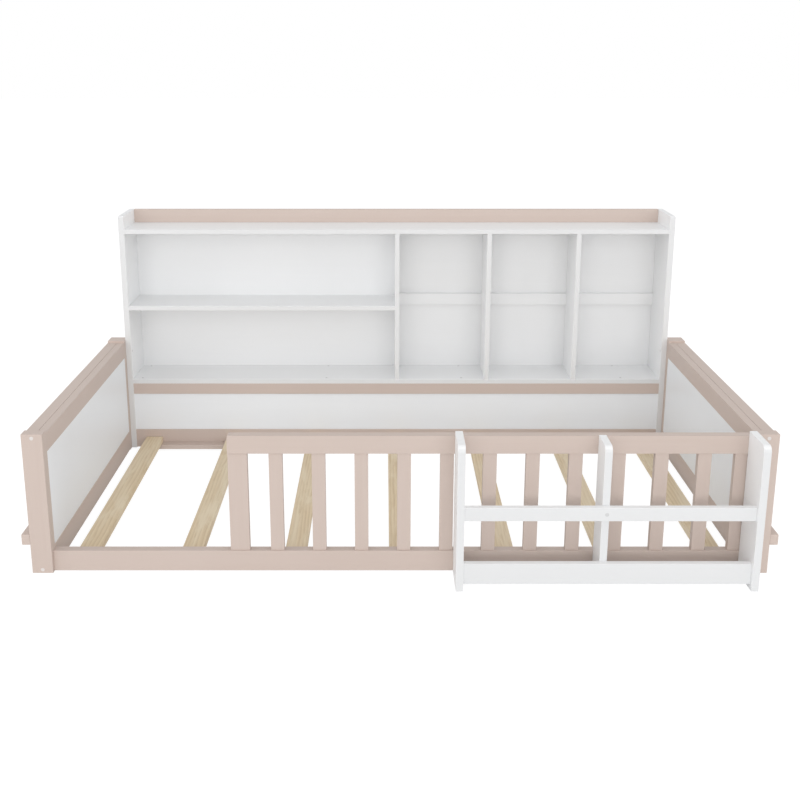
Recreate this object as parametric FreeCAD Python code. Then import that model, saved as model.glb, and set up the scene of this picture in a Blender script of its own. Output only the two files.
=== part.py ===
import FreeCAD
import Part
import os

# Low platform bed for a single mattress. Millimetres, +Z up, +X along the bed, +Y from the
# guarded front towards the bookcase. Heights start at the floor. Depths are counted from the
# front faces of the posts, and the whole is moved at the end so that the origin lies on the
# floor under the middle of its outer box.

# Sleeping space between the end frames, and from the guard's back to the rear wall
well_length = 1923.0
well_depth = 1037.0

# Frame posts, and the gaps between the floor and the rails that hang between them
post_height = 404.0
post_width = 57.0
front_post_depth = 38.0
rear_post_depth = 58.0
rear_post_lead = 24.0
floor_gap = 3.0
front_floor_gap = 1.5

# End frames
end_rail_drop = 6.0
end_top_height = 55.0
end_bottom_height = 67.0
inner_strip_thickness = 24.0
end_panel_thickness = 12.0
end_panel_recess = 1.0
tongue_thickness = 5.0
tongue_length = 6.0
groove_clearance = 0.2
batten_thickness = 23.0
batten_height = 31.0
batten_level = 84.0

# Front rail, slats and their ledgers
front_rail_inset = 14.0
front_rail_thickness = 30.0
front_rail_height = 59.5
ledger_width = 40.0
ledger_height = 15.5
ledger_level = 7.0
slat_count = 7
slat_width = 59.0
slat_thickness = 19.5
slat_end_gap = 56.0
slat_play = 1.0

# Guard on the front rail, from the right front post
guard_length = 1430.0
guard_drop = 8.0
guard_rail_height = 51.0
guard_rail_radius = 7.0
guard_end_width = 53.0
guard_left_gap = 58.5
guard_right_gap = 63.5
baluster_count = 11
baluster_width = 37.0
baluster_thickness = 22.0

# Book rack in front of the guard, from the right front post
rack_length = 812.0
rack_end_gap = 1.5
rack_depth = 132.0
rack_left_bay = 367.0
upright_thickness = 20.0
upright_radius = 18.0
side_upright_rise = 14.0
middle_upright_rise = 3.0
rack_setback = 11.0
rack_board_thickness = 20.0
rack_slat_height = 37.5
rack_slat_level = 198.0
rack_board_height = 58.5
rack_board_level = 17.0
rack_floor_thickness = 10.0

# Rear wall below the bookcase
rear_rail_thickness = 38.0
rear_lower_height = 66.0
rear_upper_height = 38.0
rear_panel_thickness = 8.0
rear_panel_recess = 5.0
rear_groove_depth = 8.0

# Bookcase, from the floor up
case_depth = 206.0
case_side_thickness = 19.0
case_side_radius = 5.0
case_board_thickness = 15.0
under_case_height = 241.5
lower_bay_height = 252.5
upper_bay_height = 254.5
gallery_height = 46.0
gallery_thickness = 20.0
main_divider_offset = 2.5
first_cubby_width = 305.0
second_cubby_width = 295.0
back_panel_thickness = 5.0
back_batten_height = 42.0
back_batten_thickness = 15.0
back_batten_drop = 5.0
stretcher_height = 38.0
stretcher_thickness = 18.0

# Fasteners
hole_clearance = 0.15
hole_end_room = 1.0
dowel_radius = 4.0
dowel_length = 30.0
dowel_board_share = 10.0
dowel_chamfer = 1.0
dowel_inset = 40.0
dowel_bolt_gap = 2.0
wood_screw_radius = 2.0
wood_screw_head_radius = 4.0
wood_screw_length = 45.0
ledger_screw_length = 60.0
frame_screw_radius = 2.5
frame_screw_head_radius = 4.2
frame_screw_head_height = 4.0
frame_screw_bite = 50.0
frame_screw_top_edge = 5.0
frame_screw_bottom_edge = 7.0
cap_grip = 0.3
cap_lip = 0.8
cap_rim_thickness = 0.8
cap_plug_length = 3.0
cap_clearance = 1.0
bolt_radius = 3.0
bolt_head_radius = 5.0
bolt_head_height = 5.5
bolt_head_cover = 2.5
nut_wall = 2.0
nut_cover = 3.0
nut_edge = 20.0
nut_from_tip = 10.0
drive_wall = 0.4
drive_depth = 2.0
pin_radius = 0.8
pin_head_radius = 2.0
pin_head_height = 0.8
pin_length = 10.0
pin_count = 7
pin_end_inset = 40.0
bottom_screw_past_dowel = 10.0
bottom_screw_from_main = 246.0
bottom_screw_from_second = 81.0
bottom_screw_from_right = 135.0
case_screw_drop = 45.0
guard_bolt_drop = 46.0

# Places along X
well_end = well_length / 2
post_outer = well_end + post_width
strip_outer = well_end + inner_strip_thickness
post_middle = well_end + post_width / 2
ledger_end = well_end - slat_end_gap
guard_left = well_end - guard_length
rack_right = well_end - rack_end_gap
rack_left = rack_right - rack_length
middle_upright_left = rack_left + upright_thickness + rack_left_bay
case_inner = well_end - case_side_thickness
main_divider_left = main_divider_offset - case_board_thickness / 2
main_divider_right = main_divider_left + case_board_thickness
second_divider_left = main_divider_right + first_cubby_width
third_divider_left = second_divider_left + case_board_thickness + second_cubby_width
bolt_seat = post_outer - bolt_head_height - bolt_head_cover
nut_place = case_inner - nut_edge
bolt_length = bolt_seat - nut_place + nut_from_tip

# Places along Y
front_face = front_rail_inset
front_rail_back = front_face + front_rail_thickness
baluster_front = front_face + (front_rail_thickness - baluster_thickness) / 2
baluster_back = baluster_front + baluster_thickness
rear_face = front_rail_back + well_depth
rear_post_front = rear_face - rear_post_lead
rear_post_back = rear_post_front + rear_post_depth
rear_rail_back = rear_face + rear_rail_thickness
rear_joint_depth = (rear_face + min(rear_post_back, rear_rail_back)) / 2
rear_panel_front = rear_face + rear_panel_recess
rear_panel_back = rear_panel_front + rear_panel_thickness
case_back = rear_face + case_depth
board_back = case_back - back_panel_thickness
gallery_front = case_back - gallery_thickness
stretcher_front = board_back - stretcher_thickness
rack_front = front_face - rack_depth
rack_board_front = rack_front + rack_setback
rack_board_back = rack_board_front + rack_board_thickness
depth_middle = (rack_front + case_back) / 2

# Places along Z
end_rail_top = post_height - end_rail_drop
end_panel_top = end_rail_top - end_top_height
end_panel_bottom = floor_gap + end_bottom_height
front_rail_top = front_floor_gap + front_rail_height
ledger_top = ledger_level + ledger_height
slat_top = ledger_top + slat_thickness
guard_top = post_height - guard_drop
guard_rail_bottom = guard_top - guard_rail_height
rear_lower_top = floor_gap + rear_lower_height
rear_upper_bottom = under_case_height - rear_upper_height
bottom_board_top = under_case_height + case_board_thickness
shelf_bottom = bottom_board_top + lower_bay_height
shelf_top = shelf_bottom + case_board_thickness
top_board_bottom = shelf_top + upper_bay_height
top_board_top = top_board_bottom + case_board_thickness
case_top = top_board_top + gallery_height
back_seam = (shelf_bottom + shelf_top) / 2
rack_floor_top = rack_board_level + rack_floor_thickness
front_bolt_level = (front_floor_gap + front_rail_top) / 2

# Sizes of fasteners that follow from others
cap_plug_radius = frame_screw_head_radius + cap_grip
cap_recess = cap_plug_length + cap_clearance
nut_radius = bolt_radius + nut_wall
nut_length = baluster_thickness - 2 * nut_cover

pieces = {}
holes = {}
fasteners = {}


def box(x_low, x_high, y_low, y_high, z_low, z_high):
    size = (x_high - x_low, y_high - y_low, z_high - z_low)
    return Part.makeBox(*size, FreeCAD.Vector(x_low, y_low, z_low))


def rounded(shape, radius, middle):
    # Rounds the one straight edge whose middle is given
    point = FreeCAD.Vector(*middle)
    edges = [edge for edge in shape.Edges if edge.CenterOfMass.distanceToPoint(point) < 0.01]
    return shape.makeFillet(radius, edges)


def turned(profile):
    # A solid of revolution about Z from points of radius and height
    points = [FreeCAD.Vector(radius, 0, height) for radius, height in profile]
    face = Part.Face(Part.makePolygon(points + points[:1]))
    return face.revolve(FreeCAD.Vector(0, 0, 0), FreeCAD.Vector(0, 0, 1), 360)


def aimed(shape, point, direction):
    # A copy with its Z axis along the direction and its origin at the point
    copy = shape.copy()
    turn = FreeCAD.Rotation(FreeCAD.Vector(0, 0, 1), FreeCAD.Vector(*direction))
    copy.Placement = FreeCAD.Placement(FreeCAD.Vector(*point), turn)
    return copy


def add(node, shape):
    pieces[node] = shape
    holes[node] = []


def fasten(group, solid, tool, point, direction, nodes):
    # Puts one fastener in its group and notes its hole in each piece that it goes through
    fasteners.setdefault(group, []).append(aimed(solid, point, direction))
    for node in nodes:
        holes[node].append(aimed(tool, point, direction))


def add_end_frame(name, side):
    # side is -1 at the left and 1 at the right
    def along_x(inner, outer):
        return (side * outer, side * inner) if side < 0 else (inner, outer)

    post = along_x(well_end, post_outer)
    rail = along_x(strip_outer, post_outer)
    strip = along_x(well_end, strip_outer)
    between = (front_post_depth, rear_post_front)
    add(name + "_front_post", box(*post, 0, front_post_depth, 0, post_height))
    add(name + "_rear_post", box(*post, rear_post_front, rear_post_back, 0, post_height))
    add(name + "_top_rail", box(*rail, *between, end_panel_top, end_rail_top))
    add(name + "_bottom_rail", box(*rail, *between, floor_gap, end_panel_bottom))

    panel_inner = well_end + end_panel_recess
    panel_outer = panel_inner + end_panel_thickness
    panel = box(*along_x(panel_inner, panel_outer), *between, end_panel_bottom, end_panel_top)
    tongue_inner = (panel_inner + panel_outer - tongue_thickness) / 2
    tongue = along_x(tongue_inner, tongue_inner + tongue_thickness)
    tongue_reach = tongue_length - groove_clearance
    tongue_heights = (end_panel_bottom - tongue_reach, end_panel_top + tongue_reach)
    add(name + "_infill_panel", panel.fuse(box(*tongue, *between, *tongue_heights)).removeSplitter())

    groove = along_x(tongue_inner - groove_clearance,
                     tongue_inner + tongue_thickness + groove_clearance)
    groove_heights = (end_panel_bottom - tongue_length, end_panel_top + tongue_length)
    groove_box = box(*groove, *between, *groove_heights)
    top_strip = box(*strip, *between, end_panel_top, end_rail_top)
    bottom_strip = box(*strip, *between, floor_gap, end_panel_bottom)
    add(name + "_top_inner_strip", top_strip.cut(groove_box))
    add(name + "_bottom_inner_strip", bottom_strip.cut(groove_box))

    batten = along_x(post_outer, post_outer + batten_thickness)
    batten_heights = (batten_level, batten_level + batten_height)
    add(name + "_outer_batten", box(*batten, 0, rear_post_back, *batten_heights))


def add_front_and_slats():
    ends = (-well_end, well_end)
    add("front_side_rail", box(*ends, front_face, front_rail_back, front_floor_gap, front_rail_top))
    for name, front in (("front", front_rail_back), ("rear", rear_face - ledger_width)):
        ledger = box(-ledger_end, ledger_end, front, front + ledger_width, ledger_level, ledger_top)
        add(name + "_slat_ledger", ledger)
    for index, middle in enumerate(slat_middles()):
        slat = box(middle - slat_width / 2, middle + slat_width / 2,
                   front_rail_back + slat_play, rear_face - slat_play, ledger_top, slat_top)
        add("slat_%d" % (index + 1), slat)


def slat_middles():
    first = -ledger_end + slat_width / 2
    return [first - 2 * first * index / (slat_count - 1) for index in range(slat_count)]


def baluster_middles():
    first = guard_left + guard_end_width + guard_left_gap + baluster_width / 2
    last = well_end - guard_end_width - guard_right_gap - baluster_width / 2
    step = (last - first) / (baluster_count - 1)
    return [first + step * index for index in range(baluster_count)]


def add_guard():
    rail = box(guard_left, well_end, front_face, front_rail_back, guard_rail_bottom, guard_top)
    corner = (guard_left, (front_face + front_rail_back) / 2, guard_top)
    add("guard_top_rail", rounded(rail, guard_rail_radius, corner))
    depths = (baluster_front, baluster_back)
    heights = (front_rail_top, guard_rail_bottom)
    add("guard_left_end_post", box(guard_left, guard_left + guard_end_width, *depths, *heights))
    add("guard_right_end_post", box(well_end - guard_end_width, well_end, *depths, *heights))
    for index, middle in enumerate(baluster_middles()):
        width = (middle - baluster_width / 2, middle + baluster_width / 2)
        add("guard_baluster_%d" % (index + 1), box(*width, *depths, *heights))


def add_rack():
    bay = (rack_left + upright_thickness, rack_right - upright_thickness)
    for name, left in (("left", rack_left), ("right", bay[1])):
        top = guard_top + side_upright_rise
        upright = box(left, left + upright_thickness, rack_front, front_face, 0, top)
        corner = (left + upright_thickness / 2, rack_front, top)
        add("rack_%s_upright" % name, rounded(upright, upright_radius, corner))

    top = guard_top + middle_upright_rise
    middle_right = middle_upright_left + upright_thickness
    middle = box(middle_upright_left, middle_right, rack_board_back, front_face, rack_floor_top, top)
    corner = ((middle_upright_left + middle_right) / 2, rack_board_back, top)
    add("rack_middle_upright", rounded(middle, upright_radius, corner))

    front = (rack_board_front, rack_board_back)
    add("rack_upper_slat", box(*bay, *front, rack_slat_level, rack_slat_level + rack_slat_height))
    add("rack_lower_board", box(*bay, *front, rack_board_level, rack_board_level + rack_board_height))
    add("rack_floor_board", box(*bay, rack_board_back, front_face, rack_board_level, rack_floor_top))


def add_rear_wall():
    ends = (-case_inner, case_inner)
    depths = (rear_face, rear_rail_back)
    groove = box(*ends, rear_panel_front - groove_clearance, rear_panel_back + groove_clearance,
                 rear_lower_top - rear_groove_depth, rear_upper_bottom + rear_groove_depth)
    add("rear_lower_rail", box(*ends, *depths, floor_gap, rear_lower_top).cut(groove))
    add("rear_upper_rail", box(*ends, *depths, rear_upper_bottom, under_case_height).cut(groove))
    panel_reach = rear_groove_depth - groove_clearance
    add("rear_infill_panel", box(*ends, rear_panel_front, rear_panel_back,
                                 rear_lower_top - panel_reach, rear_upper_bottom + panel_reach))


def add_bookcase():
    for name, left in (("left", -well_end), ("right", case_inner)):
        side = box(left, left + case_side_thickness, rear_face, case_back, 0, case_top)
        corner = (left + case_side_thickness / 2, rear_face, case_top)
        add("bookcase_%s_side" % name, rounded(side, case_side_radius, corner))

    ends = (-case_inner, case_inner)
    depths = (rear_face, board_back)
    add("bookcase_bottom_board", box(*ends, *depths, under_case_height, bottom_board_top))
    add("bookcase_top_board", box(*ends, *depths, top_board_bottom, top_board_top))
    add("bookcase_left_shelf", box(-case_inner, main_divider_left, *depths, shelf_bottom, shelf_top))

    batten_bottom = back_seam - back_batten_drop - back_batten_height / 2
    batten = box(main_divider_right, case_inner,
                 board_back - back_batten_thickness, board_back,
                 batten_bottom, batten_bottom + back_batten_height)
    add("bookcase_back_batten", batten)
    for name, left in (("main", main_divider_left), ("second", second_divider_left),
                       ("third", third_divider_left)):
        divider = box(left, left + case_board_thickness, *depths, bottom_board_top, top_board_bottom)
        add("bookcase_%s_divider" % name, divider.cut(batten))

    panel = (*ends, board_back, case_back)
    add("bookcase_lower_back_panel", box(*panel, under_case_height, back_seam))
    add("bookcase_upper_back_panel", box(*panel, back_seam, top_board_top))
    add("bookcase_gallery_rail", box(*ends, gallery_front, case_back, top_board_top, case_top))
    add("bookcase_rear_stretcher", box(*ends, stretcher_front, board_back,
                                       under_case_height - stretcher_height, under_case_height))


def with_drive(shape, head_top, shank_radius):
    # The hexagonal socket in a fastener's head, a little narrower than its shank
    corner = FreeCAD.Vector(shank_radius - drive_wall, 0, head_top)
    corners = [FreeCAD.Rotation(60 * turn, 0, 0).multVec(corner) for turn in range(6)]
    socket = Part.Face(Part.makePolygon(corners + corners[:1]))
    return shape.cut(socket.extrude(FreeCAD.Vector(0, 0, drive_depth)))


def countersunk(length):
    # A wood screw with its head flush at height 0
    taper = wood_screw_head_radius - wood_screw_radius
    point = 2 * wood_screw_radius
    return turned([(0, 0), (wood_screw_head_radius, 0), (wood_screw_radius, taper),
                   (wood_screw_radius, length - point), (0, length)])


def countersunk_hole(length):
    shank = wood_screw_radius + hole_clearance
    head = wood_screw_head_radius + hole_clearance
    reach = length + hole_end_room
    return turned([(0, -hole_end_room), (head, -hole_end_room), (head, 0), (shank, head - shank),
                   (shank, reach), (0, reach)])


def stepped(head_radius, head_height, shank_radius, length):
    # A cylinder head above height 0 and a shank below it, driven towards +Z
    return turned([(0, -head_height), (head_radius, -head_height), (head_radius, 0),
                   (shank_radius, 0), (shank_radius, length), (0, length)])


def dowel_solid():
    half = dowel_length / 2
    thin = dowel_radius - dowel_chamfer
    return turned([(0, -half), (thin, -half), (dowel_radius, dowel_chamfer - half),
                   (dowel_radius, half - dowel_chamfer), (thin, half), (0, half)])


def dowel_hole():
    reach = dowel_length / 2 + hole_end_room
    radius = dowel_radius + hole_clearance
    return turned([(0, -reach), (radius, -reach), (radius, reach), (0, reach)])


def add_dowels():
    solid = dowel_solid()
    hole = dowel_hole()

    def dowel(point, direction, *nodes):
        fasten("dowels", solid, hole, point, direction, nodes)

    rail_middle = (strip_outer + post_outer) / 2
    top_level = (end_panel_top + end_rail_top) / 2 - dowel_radius
    bottom_level = front_bolt_level + bolt_radius + dowel_bolt_gap + dowel_radius
    for name, side in (("left", -1), ("right", 1)):
        for post, joint in (("front", front_post_depth), ("rear", rear_post_front)):
            for rail, level in (("top", top_level), ("bottom", bottom_level)):
                dowel((side * rail_middle, joint, level), (0, 1, 0),
                      "%s_%s_post" % (name, post), "%s_%s_rail" % (name, rail))

    uprights = [(guard_left + guard_end_width / 2, "guard_left_end_post"),
                (well_end - guard_end_width / 2, "guard_right_end_post")]
    uprights += [(middle, "guard_baluster_%d" % (index + 1))
                 for index, middle in enumerate(baluster_middles())]
    depth = (baluster_front + baluster_back) / 2
    for middle, node in uprights:
        dowel((middle, depth, front_rail_top), (0, 0, 1), node, "front_side_rail")
        dowel((middle, depth, guard_rail_bottom), (0, 0, 1), node, "guard_top_rail")

    # In boards and sides the dowel sits deeper in the piece that runs along it
    board_shift = dowel_length / 2 - dowel_board_share
    half_board = case_board_thickness / 2
    inset_depths = (rear_face + dowel_inset, board_back - dowel_inset)
    for name, side in (("left", -1), ("right", 1)):
        panel = "bookcase_%s_side" % name
        joint = side * (case_inner - board_shift)
        for depth in inset_depths:
            for node, level in (("top_board", top_board_bottom), ("bottom_board", under_case_height)):
                dowel((joint, depth, level + half_board), (1, 0, 0), panel, "bookcase_" + node)
        upper_level = (rear_upper_bottom + rear_groove_depth + under_case_height) / 2
        dowel((joint, rear_face + rear_rail_thickness / 2, upper_level), (1, 0, 0),
              panel, "rear_upper_rail")
        stretcher_level = under_case_height - stretcher_height / 2
        dowel((joint, stretcher_front + stretcher_thickness / 2, stretcher_level), (1, 0, 0),
              panel, "bookcase_rear_stretcher")

    for depth in inset_depths:
        level = shelf_bottom + half_board
        dowel((board_shift - case_inner, depth, level), (1, 0, 0),
              "bookcase_left_side", "bookcase_left_shelf")
        dowel((main_divider_left - board_shift, depth, level), (1, 0, 0),
              "bookcase_main_divider", "bookcase_left_shelf")
        for name, left in (("main", main_divider_left), ("second", second_divider_left),
                           ("third", third_divider_left)):
            node = "bookcase_%s_divider" % name
            dowel((left + half_board, depth, bottom_board_top + board_shift), (0, 0, 1),
                  node, "bookcase_bottom_board")
            dowel((left + half_board, depth, top_board_bottom - board_shift), (0, 0, 1),
                  node, "bookcase_top_board")

    # The gallery's dowels stand half way between the back panel's pins
    pins = pin_places()
    for left, right in zip(pins, pins[1:]):
        dowel(((left + right) / 2, (gallery_front + board_back) / 2, top_board_top + board_shift),
              (0, 0, 1), "bookcase_gallery_rail", "bookcase_top_board")


def add_wood_screws():
    solid = with_drive(countersunk(wood_screw_length), 0, wood_screw_radius)
    hole = countersunk_hole(wood_screw_length)

    def screw(point, direction, *nodes):
        fasten("wood_screws", solid, hole, point, direction, nodes)

    # Bookcase bottom board, in pairs, down into the rear rail behind its panel and the stretcher
    places = (-case_inner + dowel_length - dowel_board_share + bottom_screw_past_dowel,
              main_divider_left - bottom_screw_from_main,
              second_divider_left - bottom_screw_from_second,
              case_inner - bottom_screw_from_right)
    for place in places:
        screw((place, (rear_panel_back + rear_rail_back) / 2, bottom_board_top), (0, 0, -1),
              "bookcase_bottom_board", "rear_upper_rail")
        screw((place, stretcher_front + stretcher_thickness / 2, bottom_board_top), (0, 0, -1),
              "bookcase_bottom_board", "bookcase_rear_stretcher")

    # Bookcase sides outwards into the rear posts, and battens inwards into the posts
    batten_middle = batten_level + batten_height / 2
    for name, side in (("left", -1), ("right", 1)):
        screw((side * case_inner, rear_joint_depth, post_height - case_screw_drop),
              (side, 0, 0), "bookcase_%s_side" % name, name + "_rear_post")
        for post, depth in (("front", front_post_depth / 2),
                            ("rear", (rear_post_front + rear_post_back) / 2)):
            screw((side * (post_outer + batten_thickness), depth, batten_middle), (-side, 0, 0),
                  name + "_outer_batten", "%s_%s_post" % (name, post))

    # Rack uprights, from the bed's side through the guard and the front rail
    half_upright = upright_thickness / 2
    guard_level = (guard_rail_bottom + guard_top) / 2
    rail_level = (front_bolt_level + bolt_radius + front_rail_top - dowel_length / 2) / 2
    for name, left in (("left", rack_left), ("middle", middle_upright_left),
                       ("right", rack_right - upright_thickness)):
        upright = "rack_%s_upright" % name
        screw((left + half_upright, front_rail_back, guard_level), (0, -1, 0), "guard_top_rail", upright)
        screw((left + half_upright, front_rail_back, rail_level), (0, -1, 0), "front_side_rail", upright)

    # Rack boards, through the side uprights into their ends
    front_middle = (rack_board_front + rack_board_back) / 2
    floor_middle = (rack_board_back + front_face) / 2
    boards = (("rack_upper_slat", front_middle, rack_slat_level + rack_slat_height / 2),
              ("rack_lower_board", front_middle, rack_board_level + rack_board_height / 2),
              ("rack_floor_board", floor_middle, rack_board_level + rack_floor_thickness / 2))
    for board, depth, level in boards:
        screw((rack_left, depth, level), (1, 0, 0), "rack_left_upright", board)
        screw((rack_right, depth, level), (-1, 0, 0), "rack_right_upright", board)
    middle = middle_upright_left + half_upright
    screw((middle, floor_middle, rack_board_level), (0, 0, 1), "rack_floor_board", "rack_middle_upright")
    screw((middle, rack_board_front + cap_recess, rack_slat_level + rack_slat_height / 2),
          (0, 1, 0), "rack_upper_slat", "rack_middle_upright")


def add_ledger_screws():
    solid = with_drive(countersunk(ledger_screw_length), 0, wood_screw_radius)
    hole = countersunk_hole(ledger_screw_length)
    level = (ledger_level + ledger_top) / 2
    for middle in slat_middles()[::2]:
        fasten("ledger_screws", solid, hole, (middle, front_rail_back + ledger_width, level),
               (0, -1, 0), ("front_slat_ledger", "front_side_rail"))
        fasten("ledger_screws", solid, hole, (middle, rear_face - ledger_width, level),
               (0, 1, 0), ("rear_slat_ledger", "rear_lower_rail"))


def add_frame_screws_and_caps():
    # One length serves both posts: the head sits deeper in the thicker rear post
    seat = front_post_depth - frame_screw_head_height - cap_recess
    length = seat + frame_screw_bite
    solid = stepped(frame_screw_head_radius, frame_screw_head_height, frame_screw_radius, length)
    solid = with_drive(solid, -frame_screw_head_height, frame_screw_radius)
    hole = stepped(cap_plug_radius + hole_clearance, rear_post_depth, frame_screw_radius + hole_clearance,
                   length + hole_end_room)
    cap = stepped(cap_plug_radius + cap_lip, cap_rim_thickness, cap_plug_radius, cap_plug_length)
    cap_hole = Part.makeCylinder(cap_plug_radius + hole_clearance, cap_recess)
    levels = (("top", end_rail_top - frame_screw_top_edge), ("bottom", floor_gap + frame_screw_bottom_edge))
    for name, side in (("left", -1), ("right", 1)):
        for rail, level in levels:
            for post, face, joint, way in (("front", 0, front_post_depth, 1),
                                           ("rear", rear_post_back, rear_post_front, -1)):
                nodes = ("%s_%s_post" % (name, post), "%s_%s_rail" % (name, rail))
                fasten("end_frame_screws", solid, hole, (side * post_middle, joint - way * seat, level),
                       (0, way, 0), nodes)
                fasten("screw_caps", cap, cap_hole, (side * post_middle, face, level), (0, way, 0), ())
    rack_cap = (middle_upright_left + upright_thickness / 2, rack_board_front,
                rack_slat_level + rack_slat_height / 2)
    fasten("screw_caps", cap, cap_hole, rack_cap, (0, 1, 0), ("rack_upper_slat",))


def add_bolts_and_nuts():
    solid = stepped(bolt_head_radius, bolt_head_height, bolt_radius, bolt_length)
    solid = with_drive(solid, -bolt_head_height, bolt_radius)
    hole = stepped(bolt_head_radius + hole_clearance, bolt_head_height + bolt_head_cover,
                   bolt_radius + hole_clearance, bolt_length + hole_end_room)
    nut = Part.makeCylinder(nut_radius, nut_length, FreeCAD.Vector(0, 0, -nut_length / 2))
    cross = Part.makeCylinder(bolt_radius + hole_clearance, 2 * nut_radius,
                              FreeCAD.Vector(-nut_radius, 0, 0), FreeCAD.Vector(1, 0, 0))
    nut = nut.cut(cross)

    def bolt(side, depth, level, back, nodes, nut_node):
        # The nut's hole is open at the back of the rail, and the nut lies about the bolt
        fasten("joint_bolts", solid, hole, (side * bolt_seat, depth, level), (-side, 0, 0), nodes)
        reach = back - depth + nut_length / 2
        nut_hole = turned([(0, -reach), (nut_radius + hole_clearance, -reach),
                           (nut_radius + hole_clearance, nut_length / 2), (0, nut_length / 2)])
        fasten("barrel_nuts", nut, nut_hole, (side * nut_place, depth, level), (0, -1, 0), (nut_node,))

    front_depth = (front_face + front_post_depth) / 2
    rear_level = floor_gap + (rear_lower_height - rear_groove_depth) / 2
    for name, side in (("left", -1), ("right", 1)):
        bolt(side, front_depth, front_bolt_level, front_rail_back,
             (name + "_front_post", "front_side_rail"), "front_side_rail")
        bolt(side, rear_joint_depth, rear_level, rear_rail_back,
             (name + "_rear_post", "bookcase_%s_side" % name, "rear_lower_rail"), "rear_lower_rail")
    bolt(1, (baluster_front + baluster_back) / 2, guard_rail_bottom - guard_bolt_drop,
         baluster_back, ("right_front_post", "guard_right_end_post"),
         "guard_right_end_post")


def pin_places():
    first = -case_inner + pin_end_inset
    return [first - 2 * first * index / (pin_count - 1) for index in range(pin_count)]


def add_panel_pins():
    solid = stepped(pin_head_radius, pin_head_height, pin_radius, pin_length)
    hole = stepped(pin_head_radius + hole_clearance, pin_head_height + hole_end_room,
                   pin_radius + hole_clearance, pin_length + hole_end_room)
    rows = (("lower", "bottom", under_case_height + case_board_thickness / 2),
            ("upper", "top", top_board_bottom + case_board_thickness / 2))
    for panel, board, level in rows:
        for place in pin_places():
            fasten("panel_pins", solid, hole, (place, case_back - pin_head_height, level), (0, -1, 0),
                   ("bookcase_%s_back_panel" % panel, "bookcase_%s_board" % board))


def finished(node):
    shape = pieces[node]
    if holes[node]:
        shape = shape.cut(holes[node])
    return shape.Solids[0]


def export(node, solids):
    shape = solids[0] if len(solids) == 1 else Part.makeCompound(solids)
    shape = shape.translated(FreeCAD.Vector(0, -depth_middle, 0))
    shape.exportStep(os.path.join("parts", node + ".step"))
    return shape.BoundBox


os.makedirs("parts", exist_ok=True)
add_end_frame("left", -1)
add_end_frame("right", 1)
add_front_and_slats()
add_guard()
add_rack()
add_rear_wall()
add_bookcase()
add_dowels()
add_wood_screws()
add_ledger_screws()
add_frame_screws_and_caps()
add_bolts_and_nuts()
add_panel_pins()

# The balusters are eleven alike and share one node, as each kind of fastener does
grouped = dict(fasteners)
grouped["guard_balusters"] = []
for node in pieces:
    if node.startswith("guard_baluster_"):
        grouped["guard_balusters"].append(finished(node))
    else:
        grouped[node] = [finished(node)]

whole = FreeCAD.BoundBox()
for node, solids in grouped.items():
    whole.add(export(node, solids))
print("%d nodes, %d solids" % (len(grouped), sum(len(solids) for solids in grouped.values())))
print("overall size %.1f x %.1f x %.1f mm" % (whole.XLength, whole.YLength, whole.ZLength))
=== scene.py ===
import math

import bmesh
import bpy
from mathutils import Matrix, Vector


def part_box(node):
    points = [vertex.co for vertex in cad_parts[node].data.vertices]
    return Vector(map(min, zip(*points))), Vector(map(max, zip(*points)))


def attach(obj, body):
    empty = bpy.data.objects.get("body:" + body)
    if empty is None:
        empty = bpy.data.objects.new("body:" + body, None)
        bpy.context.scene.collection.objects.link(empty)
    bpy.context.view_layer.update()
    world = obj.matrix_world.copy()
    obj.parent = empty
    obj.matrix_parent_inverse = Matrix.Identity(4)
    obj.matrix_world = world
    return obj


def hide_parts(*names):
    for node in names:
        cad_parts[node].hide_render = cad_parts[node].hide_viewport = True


# Low bed with a guard, a book rack and a bookcase, in metres: eased boards stand for the frame's sharp ones

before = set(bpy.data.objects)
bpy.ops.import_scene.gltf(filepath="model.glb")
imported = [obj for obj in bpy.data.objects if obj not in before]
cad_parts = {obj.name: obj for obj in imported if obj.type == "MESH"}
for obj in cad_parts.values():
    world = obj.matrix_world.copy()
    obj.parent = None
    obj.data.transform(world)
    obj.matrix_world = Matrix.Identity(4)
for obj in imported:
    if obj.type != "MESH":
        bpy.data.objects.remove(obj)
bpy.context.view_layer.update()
print("frame loaded,", len(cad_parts), "nodes")

samePlace = 1e-6  # points closer than this are one point
sameLevel = 1e-5  # and levels closer than this are one level
nearEnd = 1e-4  # points this close to a fastener's end lie on its rim


# Shader helpers

def newFinish(name):
    finish = bpy.data.materials.new(name)
    finish.use_nodes = True
    tree = finish.node_tree
    return finish, tree, tree.nodes["Principled BSDF"]


def objectPlace(tree, stretch=(1.0, 1.0, 1.0), turn=(0.0, 0.0, 0.0)):
    place = tree.nodes.new("ShaderNodeTexCoord")
    mapping = tree.nodes.new("ShaderNodeMapping")
    mapping.inputs["Scale"].default_value = stretch
    mapping.inputs["Rotation"].default_value = turn
    tree.links.new(place.outputs["Object"], mapping.inputs["Vector"])
    return mapping.outputs["Vector"]


def noise(tree, place, scale, detail=4.0, roughness=0.5, distortion=0.0):
    node = tree.nodes.new("ShaderNodeTexNoise")
    node.inputs["Scale"].default_value = scale
    node.inputs["Detail"].default_value = detail
    node.inputs["Roughness"].default_value = roughness
    node.inputs["Distortion"].default_value = distortion
    tree.links.new(place, node.inputs["Vector"])
    return node.outputs["Fac"]


def spread(tree, value, low, high, fromLow=0.0, fromHigh=1.0):
    node = tree.nodes.new("ShaderNodeMapRange")
    node.interpolation_type = "SMOOTHSTEP"
    node.inputs["From Min"].default_value = fromLow
    node.inputs["From Max"].default_value = fromHigh
    node.inputs["To Min"].default_value = low
    node.inputs["To Max"].default_value = high
    tree.links.new(value, node.inputs["Value"])
    return node.outputs["Result"]


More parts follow.
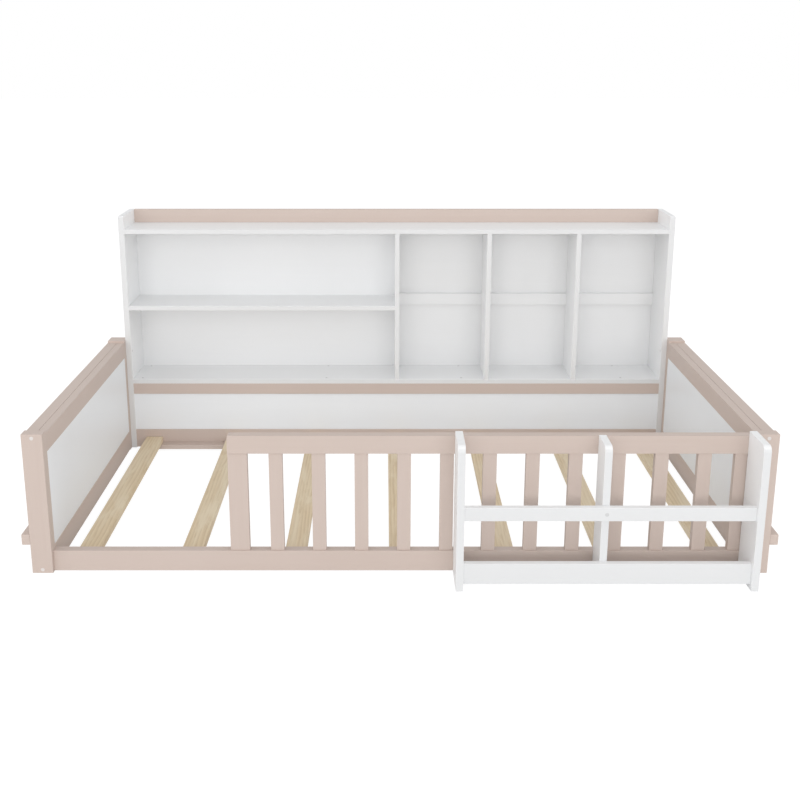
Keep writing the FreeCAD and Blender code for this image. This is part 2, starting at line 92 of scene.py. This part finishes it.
def combine(tree, operation, first, second):
    node = tree.nodes.new("ShaderNodeMath")
    node.operation = operation
    for socket, value in zip(node.inputs, (first, second)):
        if isinstance(value, (int, float)):
            socket.default_value = value
        else:
            tree.links.new(value, socket)
    return node.outputs["Value"]


def blendColours(tree, amount, first, second):
    node = tree.nodes.new("ShaderNodeMix")
    node.data_type = "RGBA"
    tree.links.new(amount, node.inputs["Factor"])
    for name, value in (("A", first), ("B", second)):
        socket = next(s for s in node.inputs if s.name == name and s.type == "RGBA")
        if isinstance(value, tuple):
            socket.default_value = (*value, 1.0)
        else:
            tree.links.new(value, socket)
    return next(s for s in node.outputs if s.type == "RGBA")


def relief(tree, height, depth, strength, under=None):
    node = tree.nodes.new("ShaderNodeBump")
    node.inputs["Distance"].default_value = depth
    node.inputs["Strength"].default_value = strength
    tree.links.new(height, node.inputs["Height"])
    if under is not None:
        tree.links.new(under, node.inputs["Normal"])
    return node.outputs["Normal"]


def easedEdges(tree):
    # 0 on the flats and 1 on the rounded edges, read from which way the surface faces
    facing = tree.nodes.new("ShaderNodeNewGeometry")
    sizes = tree.nodes.new("ShaderNodeVectorMath")
    sizes.operation = "ABSOLUTE"
    parts = tree.nodes.new("ShaderNodeSeparateXYZ")
    tree.links.new(facing.outputs["Normal"], sizes.inputs[0])
    tree.links.new(sizes.outputs["Vector"], parts.inputs["Vector"])
    widest = combine(tree, "MAXIMUM", parts.outputs["X"], parts.outputs["Y"])
    widest = combine(tree, "MAXIMUM", widest, parts.outputs["Z"])
    return spread(tree, widest, 1.0, 0.0, 0.72, 0.985)


def paintedFrontShadeMask(tree):
    # 1 on the faces towards the front, where a darker white is painted on as shade against the strong front
    # light
    facing = tree.nodes.new("ShaderNodeNewGeometry")
    parts = tree.nodes.new("ShaderNodeSeparateXYZ")
    tree.links.new(facing.outputs["Normal"], parts.inputs["Vector"])
    return spread(tree, parts.outputs["Y"], 1.0, 0.0, -0.95, -0.75)


def alongAxis(axis, along, across):
    return tuple(along if index == axis else across for index in range(3))


# Finishes

paintLooks = {
    "pink": {"colour": (0.600, 0.499, 0.446), "deep": (0.583, 0.480, 0.426), "worn": (0.610, 0.512, 0.460),
             "roughness": (0.40, 0.52), "grainDepth": 0.0004, "grain": 0.30, "slot": "pink_paint"},
    "white": {"colour": (0.905, 0.911, 0.917), "deep": (0.895, 0.901, 0.908), "worn": (0.898, 0.903, 0.909),
              # band: the darker white painted on every face towards the front, a painted shade against the
              # front light
              "band": (0.748, 0.754, 0.760),
              "roughness": (0.34, 0.46), "grainDepth": 0.0002, "grain": 0.12, "slot": "white_paint"},
    # backWhite: a darker copy of the white for the bookcase's back panels and battens, painted shade for
    # their deeper, dimmer light
    "backWhite": {"colour": (0.850, 0.856, 0.862), "deep": (0.840, 0.846, 0.852),
                  "worn": (0.850, 0.856, 0.862),
                  "roughness": (0.58, 0.68), "grainDepth": 0.0002, "grain": 0.10, "slot": "white_paint"},
    # panelWhite: a copy of the white made bluer and a little darker for the infill panels, painted light
    # that cancels the pink bounce and matches their shade
    "panelWhite": {"colour": (0.868, 0.892, 0.918), "deep": (0.856, 0.880, 0.907),
                   "worn": (0.868, 0.892, 0.918),
                   "roughness": (0.34, 0.46), "grainDepth": 0.0002, "grain": 0.10, "slot": "white_paint"},
}
paintRelief = {"fibresAlong": 3.0, "fibresAcross": 95.0, "fibreShare": 0.55,
               "cloudScale": 4.5, "cloudShare": 0.45,
               "stippleScale": 1100.0, "stippleDepth": 0.00008, "stipple": 0.35}


def paintFinish(name, look, axis):
    # Satin paint: the wood's fibres and the roller's stipple show through as a slight relief
    finish, tree, shader = newFinish("%sPaintAlong%s" % (name, "XYZ"[axis]))
    stretch = alongAxis(axis, paintRelief["fibresAlong"], paintRelief["fibresAcross"])
    fibres = noise(tree, objectPlace(tree, stretch), 1.0, 6.0, 0.62, 0.5)
    clouds = noise(tree, objectPlace(tree), paintRelief["cloudScale"], 3.0, 0.55)
    stipple = noise(tree, objectPlace(tree), paintRelief["stippleScale"], 2.0, 0.6)
    tone = combine(tree, "ADD", combine(tree, "MULTIPLY", fibres, paintRelief["fibreShare"]),
                   combine(tree, "MULTIPLY", clouds, paintRelief["cloudShare"]))
    colour = blendColours(tree, spread(tree, tone, 0.0, 1.0, 0.30, 0.70), look["deep"], look["colour"])
    rub = combine(tree, "MULTIPLY", easedEdges(tree), spread(tree, clouds, 0.25, 0.85, 0.35, 0.65))
    colour = blendColours(tree, rub, colour, look["worn"])
    # painted shade: faces towards the front take the darker white, to tone down the strong front light on
    # them
    if "band" in look:
        colour = blendColours(tree, paintedFrontShadeMask(tree), colour, look["band"])
    tree.links.new(colour, shader.inputs["Base Color"])
    gloss = spread(tree, combine(tree, "ADD", fibres, stipple), *look["roughness"], 0.7, 1.3)
    tree.links.new(gloss, shader.inputs["Roughness"])
    grain = relief(tree, fibres, look["grainDepth"], look["grain"])
    bumps = relief(tree, stipple, paintRelief["stippleDepth"], paintRelief["stipple"], grain)
    tree.links.new(bumps, shader.inputs["Normal"])
    return finish


pineLook = {
    "early": (0.765, 0.625, 0.432), "late": (0.530, 0.385, 0.215), "pale": (0.815, 0.705, 0.525),
    "knot": (0.330, 0.200, 0.105), "ringSpacing": 0.011, "wander": 11.0, "roughness": (0.52, 0.70),
    "ringStretch": (1.0, 0.15, 1.0), "fibreStretch": (620.0, 9.0, 620.0),
    "streakStretch": (95.0, 7.0, 95.0), "broadStretch": (20.0, 3.0, 20.0),
    "knotStretch": (9.0, 3.2, 9.0), "slot": "slat_pine",
}


def pineFinish(look):
    # Planed pine: flat-sawn rings that wander along the slats, streaks, fine fibres and a few knots
    finish, tree, shader = newFinish("planedPine")
    along = objectPlace(tree, look["ringStretch"])
    wave = tree.nodes.new("ShaderNodeTexWave")
    wave.wave_type = "BANDS"
    wave.bands_direction = "X"
    wave.wave_profile = "SAW"
    wave.inputs["Scale"].default_value = math.tau / 20.0 / look["ringSpacing"]
    wave.inputs["Distortion"].default_value = look["wander"]
    wave.inputs["Detail"].default_value = 2.5
    wave.inputs["Detail Scale"].default_value = 0.35
    wave.inputs["Detail Roughness"].default_value = 0.55
    tree.links.new(along, wave.inputs["Vector"])
    fibres = noise(tree, objectPlace(tree, look["fibreStretch"]), 1.0, 3.0, 0.6)
    streaks = noise(tree, objectPlace(tree, look["streakStretch"]), 1.0, 3.0, 0.65, 0.9)
    broad = noise(tree, objectPlace(tree, look["broadStretch"]), 1.0, 3.0, 0.6, 1.0)
    rings = spread(tree, wave.outputs["Fac"], 0.0, 0.42, 0.15, 1.0)
    colour = blendColours(tree, rings, look["early"], look["late"])
    colour = blendColours(tree, spread(tree, broad, 0.0, 0.8, 0.38, 0.68), colour, look["pale"])
    colour = blendColours(tree, spread(tree, streaks, 0.0, 0.35, 0.52, 0.74), colour, look["late"])
    colour = blendColours(tree, spread(tree, streaks, 0.4, 0.0, 0.26, 0.46), colour, look["pale"])
    colour = blendColours(tree, spread(tree, fibres, 0.0, 0.35, 0.55, 0.8), colour, look["late"])
    cells = tree.nodes.new("ShaderNodeTexVoronoi")
    cells.inputs["Scale"].default_value = 1.0
    tree.links.new(objectPlace(tree, look["knotStretch"]), cells.inputs["Vector"])
    knots = spread(tree, cells.outputs["Distance"], 0.6, 0.0, 0.03, 0.13)
    colour = blendColours(tree, knots, colour, look["knot"])
    tree.links.new(colour, shader.inputs["Base Color"])
    tree.links.new(spread(tree, fibres, *look["roughness"]), shader.inputs["Roughness"])
    grain = relief(tree, fibres, 0.0003, 0.25)
    tree.links.new(relief(tree, rings, 0.0003, 0.15, grain), shader.inputs["Normal"])
    return finish


# Finishes of one speckle over two close tones
beechLook = {"first": (0.60, 0.41, 0.25), "second": (0.48, 0.31, 0.18), "scale": 260.0, "detail": 4.0,
             "roughness": (0.50, 0.65), "depth": 0.0002, "strength": 0.2}
zincLook = {"first": (0.56, 0.56, 0.55), "second": (0.68, 0.68, 0.67), "scale": 700.0, "detail": 3.0,
            "roughness": (0.30, 0.48), "depth": 0.00005, "strength": 0.3}
capPlastic = {"scale": 1500.0, "detail": 2.0, "roughness": (0.36, 0.46), "depth": 0.00004, "strength": 0.25}
capLooks = {
    "post": {**capPlastic, "first": (0.70, 0.655, 0.63), "second": (0.73, 0.685, 0.66)},
    "rack": {**capPlastic, "first": (0.605, 0.605, 0.61), "second": (0.635, 0.635, 0.64)},
}


def speckledFinish(name, look, metallic=0.0):
    finish, tree, shader = newFinish(name)
    shader.inputs["Metallic"].default_value = metallic
    speckle = noise(tree, objectPlace(tree), look["scale"], look["detail"], 0.6)
    colour = blendColours(tree, spread(tree, speckle, 0.0, 1.0, 0.3, 0.7), look["first"], look["second"])
    tree.links.new(colour, shader.inputs["Base Color"])
    tree.links.new(spread(tree, speckle, *look["roughness"]), shader.inputs["Roughness"])
    tree.links.new(relief(tree, speckle, look["depth"], look["strength"]), shader.inputs["Normal"])
    return finish


paints = {name: [paintFinish(name, look, axis) for axis in range(3)] for name, look in paintLooks.items()}
pine = pineFinish(pineLook)
zinc = speckledFinish("zincPlate", zincLook, 1.0)
print("finishes made")


# Fasteners: where each head lies, so that the boards can be drilled for those that show

drilling = {
    "wood_screws": {"sink": 0.001, "depth": 0.0022},
    "ledger_screws": {"sink": 0.001, "depth": 0.0022},
    "joint_bolts": {"sink": 0.004, "depth": 0.0057},
    "barrel_nuts": {"sink": 0.016, "depth": 0.0006},
    "panel_pins": {"sink": 0.0005, "depth": 0.0009},
}
drillRoom = 0.00015
drillSides = 24
drillAbove = 0.001  # how far a cutter stands clear of the face


def solidsOf(node):
    # The points of each separate solid in a node that holds several
    shape = bmesh.new()
    shape.from_mesh(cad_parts[node].data)
    bmesh.ops.remove_doubles(shape, verts=shape.verts, dist=samePlace)
    seen = set()
    solids = []
    for first in shape.verts:
        if first in seen:
            continue
        seen.add(first)
        waiting = [first]
        points = []
        while waiting:
            vert = waiting.pop()
            points.append(vert.co.copy())
            for edge in vert.link_edges:
                other = edge.other_vert(vert)
                if other not in seen:
                    seen.add(other)
                    waiting.append(other)
        solids.append(points)
    shape.free()
    return solids


def corners(points):
    low = Vector([min(point[axis] for point in points) for axis in range(3)])
    high = Vector([max(point[axis] for point in points) for axis in range(3)])
    return low, high


def headOf(points, axis):
    # The wider end along an axis: its centre, which way it faces, and its radius
    low, high = corners(points)
    middle = (low + high) / 2
    ends = []
    for way, level in ((-1, low[axis]), (1, high[axis])):
        rim = [point - middle for point in points if abs(point[axis] - level) < nearEnd]
        radius = max(math.hypot(point[axis - 1], point[axis - 2]) for point in rim)
        ends.append((round(radius, 6), way, level))
    radius, way, level = max(ends)
    centre = middle.copy()
    centre[axis] = level
    return {"axis": axis, "way": way, "centre": centre, "radius": radius}


def findHeads():
    heads = []
    for node, rule in drilling.items():
        for points in solidsOf(node):
            low, high = corners(points)
            span = high - low
            head = headOf(points, max(range(3), key=lambda axis: span[axis]))
            heads.append({**head, **rule})
    return heads


heads = findHeads()
print("fasteners found,", len(heads))


# Boards

shading = {"sharpEdge": 0.7, "crispAngle": 42.0, "flatWeight": 90}  # radians, degrees, percent


def asPiece(name, shape, finish, slot, *nodes):
    # A finished piece at the origin that stands for the named nodes
    mesh = bpy.data.meshes.new(name)
    shape.to_mesh(mesh)
    shape.free()
    mesh.materials.append(finish)
    piece = bpy.data.objects.new(name, mesh)
    bpy.context.scene.collection.objects.link(piece)
    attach(piece, "root")
    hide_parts(*nodes)
    return piece


def pieceName(node):
    words = node.split("_")
    return words[0] + "".join(word.capitalize() for word in words[1:])


def addBlock(shape, low, high):
    made = bmesh.ops.create_cube(shape, size=1.0)["verts"]
    bmesh.ops.scale(shape, vec=high - low, verts=made)
    bmesh.ops.translate(shape, vec=(low + high) / 2, verts=made)


def isSharp(edge):
    return len(edge.link_faces) == 2 and edge.calc_face_angle() > shading["sharpEdge"]


def edgesOnPlane(shape, axis, level):
    return [edge for edge in shape.edges
            if isSharp(edge) and all(abs(vert.co[axis] - level) < sameLevel for vert in edge.verts)]


def runsAlong(edge, axis):
    line = edge.verts[1].co - edge.verts[0].co
    return abs(line[axis]) > 0.99 * line.length


def ease(shape, edges, radius, segments=4):
    if edges:
        bmesh.ops.bevel(shape, geom=edges, offset=radius, offset_type="OFFSET", segments=segments,
                        profile=0.5, affect="EDGES", clamp_overlap=True, material=-1)


def roundCorner(shape, axis, radius, segments, **levels):
    # Rounds the one long edge along an axis that lies at the given levels of the other two
    def atCorner(vert):
        return all(abs(vert.co["xyz".index(name)] - level) < sameLevel for name, level in levels.items())

    ease(shape, [edge for edge in shape.edges if runsAlong(edge, axis) and all(map(atCorner, edge.verts))],
         radius, segments)


def easeBoard(shape, low, high, look):
    # Long edges first, upper and lower, then the ends, which are nearly sharp where they meet another piece
    span = high - low
    axis = max(range(3), key=lambda index: span[index])
    if axis == 2:
        ease(shape, [edge for edge in shape.edges if isSharp(edge)], look["edge"])
        return axis
    for level, radius in ((high.z, look["edge"]), (low.z, look.get("lowerEdge", look["edge"]))):
        ease(shape, [edge for edge in edgesOnPlane(shape, 2, level) if runsAlong(edge, axis)], radius)
    for level in (low[axis], high[axis]):
        ease(shape, edgesOnPlane(shape, axis, level), look["end"], 2)
    return axis


def drill(piece, low, high):
    # Cuts the holes of every fastener whose head lies in or just under one of the board's faces
    cutter = bmesh.new()
    for head in heads:
        axis, way = head["axis"], head["way"]
        face = high[axis] if way > 0 else low[axis]
        sunk = (face - head["centre"][axis]) * way
        others = [index for index in range(3) if index != axis]
        inside = all(low[index] < head["centre"][index] < high[index] for index in others)
        if not inside or not -sameLevel < sunk < head["sink"]:
            continue
        depth = sunk + head["depth"]
        turn = Vector((0, 0, 1)).rotation_difference(Vector(alongAxis(axis, way, 0))).to_matrix().to_4x4()
        middle = head["centre"].copy()
        middle[axis] = face + way * (drillAbove - depth) / 2
        bmesh.ops.create_cone(cutter, cap_ends=True, segments=drillSides, depth=depth + drillAbove,
                              radius1=head["radius"] + drillRoom, radius2=head["radius"] + drillRoom,
                              matrix=Matrix.Translation(middle) @ turn)
    carve(piece, cutter)


def carve(piece, cutter):
    # Takes the cutter's shape out of a piece for good
    if cutter.verts:
        mesh = bpy.data.meshes.new("cutter")
        cutter.to_mesh(mesh)
        tool = bpy.data.objects.new("cutter", mesh)
        bpy.context.scene.collection.objects.link(tool)
        cut = piece.modifiers.new("cut", "BOOLEAN")
        cut.operation = "DIFFERENCE"
        cut.solver = "EXACT"
        cut.object = tool
        bpy.context.view_layer.update()
        solid = piece.evaluated_get(bpy.context.evaluated_depsgraph_get())
        carved = bpy.data.meshes.new_from_object(solid)
        piece.modifiers.clear()
        plain = piece.data
        carved.name = plain.name + "Carved"
        piece.data = carved
        bpy.data.meshes.remove(plain)
        bpy.data.objects.remove(tool)
        bpy.data.meshes.remove(mesh)
    cutter.free()


def smooth(piece):
    # Soft shading over the eased edges, with the flats kept flat and the holes crisp
    piece.data.polygons.foreach_set("use_smooth", [True] * len(piece.data.polygons))
    piece.data.set_sharp_from_angle(angle=math.radians(shading["crispAngle"]))
    normals = piece.modifiers.new("flats", "WEIGHTED_NORMAL")
    normals.keep_sharp = True
    normals.weight = shading["flatWeight"]


def board(node, look, low=None, high=None, corner=None):
    if low is None:
        low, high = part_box(node)
    shape = bmesh.new()
    addBlock(shape, low, high)
    if corner:
        roundCorner(shape, radius=look["cornerRadius"], segments=look["cornerSegments"], **corner)
    axis = easeBoard(shape, low, high, look)
    bmesh.ops.dissolve_degenerate(shape, dist=samePlace, edges=shape.edges)
    if look["paint"] == "pine":
        finish, slot = pine, pineLook["slot"]
    else:
        finish, slot = paints[look["paint"]][axis], paintLooks[look["paint"]]["slot"]
    piece = asPiece(pieceName(node), shape, finish, slot, node)
    drill(piece, low, high)
    smooth(piece)
    return piece


# End frames

endFrame = {
    "post": {"paint": "pink", "edge": 0.0007},
    "rail": {"paint": "pink", "edge": 0.0006, "lowerEdge": 0.0006, "end": 0.0004},
    "strip": {"paint": "pink", "edge": 0.0022, "lowerEdge": 0.001, "end": 0.0004},
    # the end infill panels take the bluer copy of the white, painted against the pink bounce light
    "panel": {"paint": "panelWhite", "edge": 0.0006, "end": 0.0004},
    "batten": {"paint": "pink", "edge": 0.002, "end": 0.0016},
}


def makeEndFrame(side):
    for post in ("front_post", "rear_post"):
        board("%s_%s" % (side, post), endFrame["post"])
    for level in ("top", "bottom"):
        board("%s_%s_rail" % (side, level), endFrame["rail"])
        board("%s_%s_inner_strip" % (side, level), endFrame["strip"])
    node = side + "_infill_panel"
    low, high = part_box(node)
    low.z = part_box(side + "_bottom_rail")[1].z  # the tongues in the rails' grooves don't show
    high.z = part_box(side + "_top_rail")[0].z
    board(node, endFrame["panel"], low, high)
    board(side + "_outer_batten", endFrame["batten"])


makeEndFrame("left")
makeEndFrame("right")
print("end frames made")


# Front rail, ledgers and slats

deck = {
    "rail": {"paint": "pink", "edge": 0.0015, "lowerEdge": 0.001, "end": 0.0004},
    "ledger": {"paint": "pink", "edge": 0.0012, "end": 0.0004},
    "slat": {"paint": "pine", "edge": 0.0005, "end": 0.0004},
    "slats": 7,
}
board("front_side_rail", deck["rail"])
board("front_slat_ledger", deck["ledger"])
board("rear_slat_ledger", deck["ledger"])
for index in range(deck["slats"]):
    board("slat_%d" % (index + 1), deck["slat"])
print("slatted deck made")


# Guard

guard = {
    "rail": {"paint": "pink", "edge": 0.0035, "lowerEdge": 0.0008, "end": 0.0006,
             "cornerRadius": 0.007, "cornerSegments": 6},
    "post": {"paint": "pink", "edge": 0.0007},
}


def makeGuard():
    low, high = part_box("guard_top_rail")
    board("guard_top_rail", guard["rail"], corner={"axis": 1, "x": low.x, "z": high.z})
    board("guard_left_end_post", guard["post"])
    board("guard_right_end_post", guard["post"])
    shape = bmesh.new()
    for points in solidsOf("guard_balusters"):
        addBlock(shape, *corners(points))
    ease(shape, shape.edges[:], guard["post"]["edge"])
    paint = guard["post"]["paint"]
    smooth(asPiece("guardBalusters", shape, paints[paint][2], paintLooks[paint]["slot"], "guard_balusters"))


makeGuard()
print("guard made")


# Book rack

rack = {
    "upright": {"paint": "white", "edge": 0.0008, "cornerRadius": 0.018, "cornerSegments": 8},
    "front": {"paint": "white", "edge": 0.0013, "end": 0.0005},
    "floor": {"paint": "white", "edge": 0.001, "end": 0.0005},
}


def makeRack():
    for name in ("left", "middle", "right"):
        node = "rack_%s_upright" % name
        low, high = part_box(node)
        board(node, rack["upright"], corner={"axis": 0, "y": low.y, "z": high.z})
    board("rack_upper_slat", rack["front"])
    board("rack_lower_board", rack["front"])
    board("rack_floor_board", rack["floor"])


makeRack()
print("book rack made")


# Rear wall and bookcase

rearWall = {
    "rail": {"paint": "pink", "edge": 0.0015, "end": 0.0004},
    # the rear infill panel takes the same bluer copy of the white, painted against the pink bounce light
    "panel": {"paint": "panelWhite", "edge": 0.0005, "end": 0.0003},
}
bookcase = {
    "side": {"paint": "white", "edge": 0.0005, "cornerRadius": 0.005, "cornerSegments": 8},
    "board": {"paint": "white", "edge": 0.001, "end": 0.0003},
    "divider": {"paint": "white", "edge": 0.0009},
    # the back panels and battens take the darker copy of the white, painted shade
    "back": {"paint": "backWhite", "edge": 0.0004, "end": 0.0003},
    "batten": {"paint": "backWhite", "edge": 0.001, "end": 0.0003},
    "gallery": {"paint": "pink", "edge": 0.0012, "end": 0.0004},
}


def makeRearWall():
    board("rear_lower_rail", rearWall["rail"])
    board("rear_upper_rail", rearWall["rail"])
    low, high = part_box("rear_infill_panel")
    low.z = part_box("rear_lower_rail")[1].z
    high.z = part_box("rear_upper_rail")[0].z
    board("rear_infill_panel", rearWall["panel"], low, high)


def makeBookcase():
    for name in ("left", "right"):
        node = "bookcase_%s_side" % name
        low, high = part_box(node)
        board(node, bookcase["side"], corner={"axis": 0, "y": low.y, "z": high.z})
    for name in ("top_board", "bottom_board", "left_shelf"):
        board("bookcase_" + name, bookcase["board"])
    for name in ("back_batten", "rear_stretcher"):
        board("bookcase_" + name, bookcase["batten"])
    for name in ("main", "second", "third"):
        divider = board("bookcase_%s_divider" % name, bookcase["divider"])
        if name != "main":
            notch = bmesh.new()
            addBlock(notch, *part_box("bookcase_back_batten"))
            carve(divider, notch)
            smooth(divider)
    for name in ("lower", "upper"):
        board("bookcase_%s_back_panel" % name, bookcase["back"])
    board("bookcase_gallery_rail", bookcase["gallery"])


makeRearWall()
makeBookcase()
print("rear wall and bookcase made")


# Screw caps and the rest of the hardware

cap = {"crown": 0.0002, "rimRound": 0.0004, "lip": 0.0008, "plugLength": 0.003, "sides": 40}


def makeCap(name, points, finish):
    # A low domed button on a plug, turned about its axis
    head = headOf(points, 1)
    low, high = corners(points)
    proud = high.y - low.y - cap["plugLength"]
    rim = head["radius"]
    plug = rim - cap["lip"]
    profile = ((0, proud), (rim * 0.6, proud - cap["crown"] / 3),
               (rim - cap["rimRound"], proud - cap["crown"]), (rim, proud / 3), (rim, 0),
               (plug, 0), (plug, -cap["plugLength"]), (0, -cap["plugLength"]))
    shape = bmesh.new()
    verts = [shape.verts.new((radius, 0, height)) for radius, height in profile]
    edges = [shape.edges.new(pair) for pair in zip(verts, verts[1:])]
    bmesh.ops.spin(shape, geom=verts + edges, cent=(0, 0, 0), axis=(0, 0, 1), angle=math.tau,
                   steps=cap["sides"], use_merge=True)
    bmesh.ops.remove_doubles(shape, verts=shape.verts, dist=samePlace)
    bmesh.ops.recalc_face_normals(shape, faces=shape.faces)
    turn = Vector((0, 0, 1)).rotation_difference(Vector((0, head["way"], 0))).to_matrix().to_4x4()
    seat = head["centre"] - Vector((0, head["way"] * proud, 0))
    bmesh.ops.transform(shape, matrix=Matrix.Translation(seat) @ turn, verts=shape.verts)
    smooth(asPiece(name, shape, finish, "cap_plastic", "screw_caps"))


def makeCaps():
    finishes = {name: speckledFinish(name + "CapPlastic", look) for name, look in capLooks.items()}
    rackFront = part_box("rack_upper_slat")[1].y
    for index, points in enumerate(solidsOf("screw_caps")):
        look = "rack" if corners(points)[0].y < rackFront else "post"
        makeCap("screwCap%d" % (index + 1), points, finishes[look])


makeCaps()


def refinish(finish, *nodes):
    for node in nodes:
        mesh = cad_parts[node].data
        mesh.materials.clear()
        mesh.materials.append(finish)


def makeScrews(node):
    # The frame's pointed screws again, without the faces of no size at their tips
    shape = bmesh.new()
    shape.from_mesh(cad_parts[node].data)
    bmesh.ops.remove_doubles(shape, verts=shape.verts, dist=samePlace)
    bmesh.ops.dissolve_degenerate(shape, dist=samePlace, edges=shape.edges)
    smooth(asPiece(pieceName(node), shape, zinc, "fastener_steel", node))


makeScrews("wood_screws")
makeScrews("ledger_screws")
refinish(zinc, "end_frame_screws", "joint_bolts", "barrel_nuts", "panel_pins")
refinish(speckledFinish("bareBeech", beechLook), "dowels")
print("hardware made")


# Floor, light and camera

studio = {
    "floorSize": 60.0, "floorShade": 0.50, "floorGlow": 0.285, "bounceDrop": 0.002,
    "whiteness": 1.0, "floorWhite": 0.92, "contactShade": 0.15,
    "skyStrength": 0.767,
    "frontLight": {"place": (0.0, -9.0, 1.8), "size": (9.0, 2.0), "power": 176.0},
    "highLight": {"place": (0.0, -9.0, 3.0), "size": (8.0, 4.0), "power": 101.0},
    "leftLight": {"place": (-4.5, -0.8, 1.6), "size": (3.0, 3.0), "power": 39.0},
    "rightLight": {"place": (4.5, -0.8, 1.6), "size": (3.0, 3.0), "power": 35.0},
    "aim": (0.0, 0.0, 0.35),
}


def makeFloor(name, shade, glow, height):
    shape = bmesh.new()
    bmesh.ops.create_grid(shape, x_segments=1, y_segments=1, size=studio["floorSize"] / 2)
    bmesh.ops.translate(shape, vec=(0, 0, height), verts=shape.verts)
    mesh = bpy.data.meshes.new(name)
    shape.to_mesh(mesh)
    shape.free()
    finish, tree, shader = newFinish(name)
    shader.inputs["Base Color"].default_value = (shade, shade, shade, 1.0)
    shader.inputs["Roughness"].default_value = 1.0
    shader.inputs["Emission Color"].default_value = (1.0, 1.0, 1.0, 1.0)
    shader.inputs["Emission Strength"].default_value = glow
    mesh.materials.append(finish)
    floor = bpy.data.objects.new(name, mesh)
    bpy.context.scene.collection.objects.link(floor)
    return floor


def makeFloors():
    # The white floor that is seen, and just under it the greyer one, unseen by the camera, whose faint glow
    # and bounce light the bed from below
    seen = makeFloor("whiteFloor", studio["contactShade"], studio["floorWhite"], 0.0)
    seen.visible_diffuse = False
    seen.visible_glossy = False
    seen.visible_shadow = False
    bounce = makeFloor("bounceFloor", studio["floorShade"], studio["floorGlow"], -studio["bounceDrop"])
    bounce.visible_camera = False


def addLight(name):
    look = studio[name]
    light = bpy.data.lights.new(name, "AREA")
    light.shape = "RECTANGLE"
    light.size, light.size_y = look["size"]
    light.energy = look["power"]
    lamp = bpy.data.objects.new(name, light)
    bpy.context.scene.collection.objects.link(lamp)
    lamp.location = look["place"]
    lamp.rotation_euler = (Vector(studio["aim"]) - lamp.location).to_track_quat("-Z", "Y").to_euler()


def makeSky():
    # Soft grey light from all round, behind a backdrop that shows as plain white
    sky = bpy.data.worlds.new("studio")
    sky.use_nodes = True
    tree = sky.node_tree
    light = tree.nodes["Background"]
    light.inputs["Color"].default_value = (1.0, 1.0, 1.0, 1.0)
    light.inputs["Strength"].default_value = studio["skyStrength"]
    backdrop = tree.nodes.new("ShaderNodeBackground")
    backdrop.inputs["Color"].default_value = (1.0, 1.0, 1.0, 1.0)
    backdrop.inputs["Strength"].default_value = studio["whiteness"]
    seen = tree.nodes.new("ShaderNodeLightPath")
    either = tree.nodes.new("ShaderNodeMixShader")
    tree.links.new(seen.outputs["Is Camera Ray"], either.inputs["Fac"])
    tree.links.new(light.outputs["Background"], either.inputs[1])
    tree.links.new(backdrop.outputs["Background"], either.inputs[2])
    tree.links.new(either.outputs["Shader"], tree.nodes["World Output"].inputs["Surface"])
    bpy.context.scene.world = sky


makeFloors()
makeSky()
for name in ("frontLight", "highLight", "leftLight", "rightLight"):
    addLight(name)

view = {"place": (-0.04386, -3.62656, 1.40312), "tilt": 73.48, "lens": 53.7545, "sensor": 36.0,
        "shift": 0.02004}
lens = bpy.data.cameras.new("photoView")
lens.sensor_width = view["sensor"]
lens.lens = view["lens"]
lens.shift_x = view["shift"]
camera = bpy.data.objects.new("photoView", lens)
bpy.context.scene.collection.objects.link(camera)
camera.location = view["place"]
camera.rotation_euler = (math.radians(view["tilt"]), 0.0, 0.0)
bpy.context.scene.camera = camera
bpy.context.scene.view_settings.view_transform = "Standard"
print("studio made")
